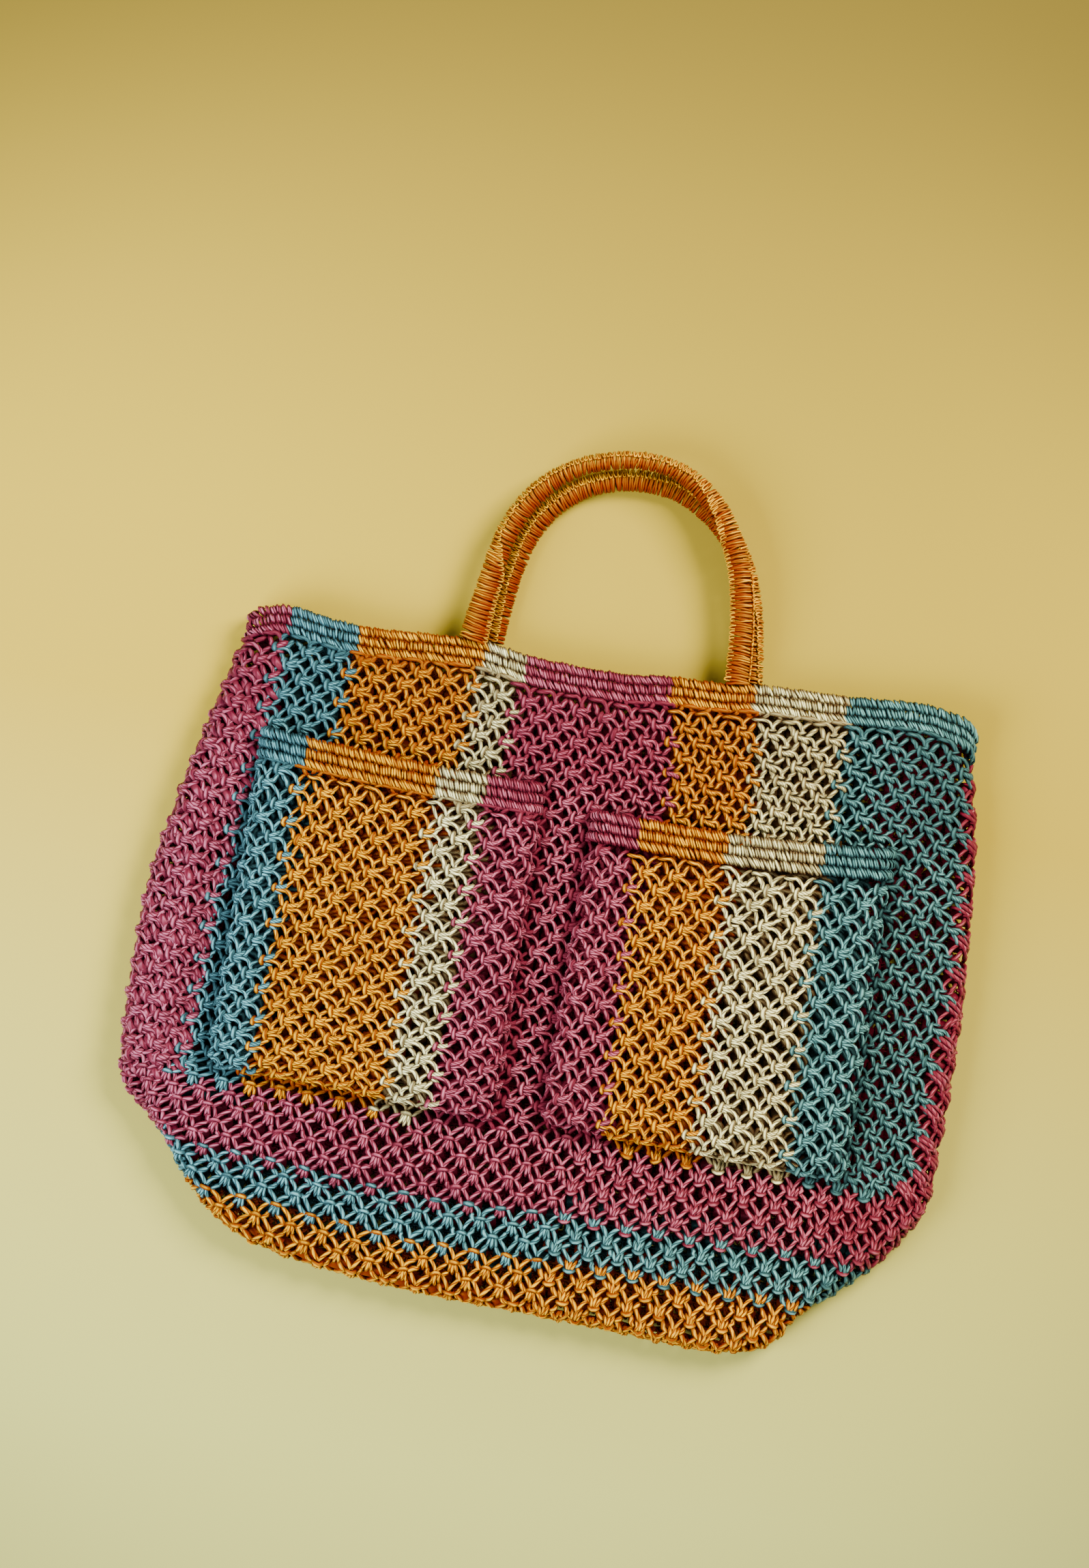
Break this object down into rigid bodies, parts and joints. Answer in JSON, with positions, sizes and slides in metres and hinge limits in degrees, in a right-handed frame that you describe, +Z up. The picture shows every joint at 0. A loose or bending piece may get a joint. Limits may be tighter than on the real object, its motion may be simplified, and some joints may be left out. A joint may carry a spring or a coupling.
{
  "type": "knotted string tote bag",
  "caption": "Open-net knotted jute tote bag lying on its back, with colour-blocked stripes, a ridged mouth band, two patch pockets and two corded loop handles.",
  "frame": {"origin": "under the middle of the whole outline, on the surface that the bag lies on", "axes": "+X to the right along the mouth, +Y from the base to the handles, +Z up off the surface, out of the front with the pockets"},
  "size_m": [0.4378, 0.4628, 0.0341],
  "materials": {
    "magenta_yarn": "matte two-ply jute yarn, knotted",
    "teal_yarn": "matte two-ply jute yarn, knotted",
    "orange_yarn": "matte two-ply jute yarn, knotted, and wrapped round the handles",
    "cream_yarn": "matte two-ply jute yarn, knotted"
  },
  "bodies": {
    "root": {"body": "magenta_yarn", "rim": "teal_yarn", "pocket_left": "orange_yarn", "pocket_left_band": "orange_yarn", "pocket_right": "cream_yarn", "pocket_right_band": "cream_yarn", "handle_front": "orange_yarn", "handle_back": "orange_yarn"}
  },
  "joints": []
}
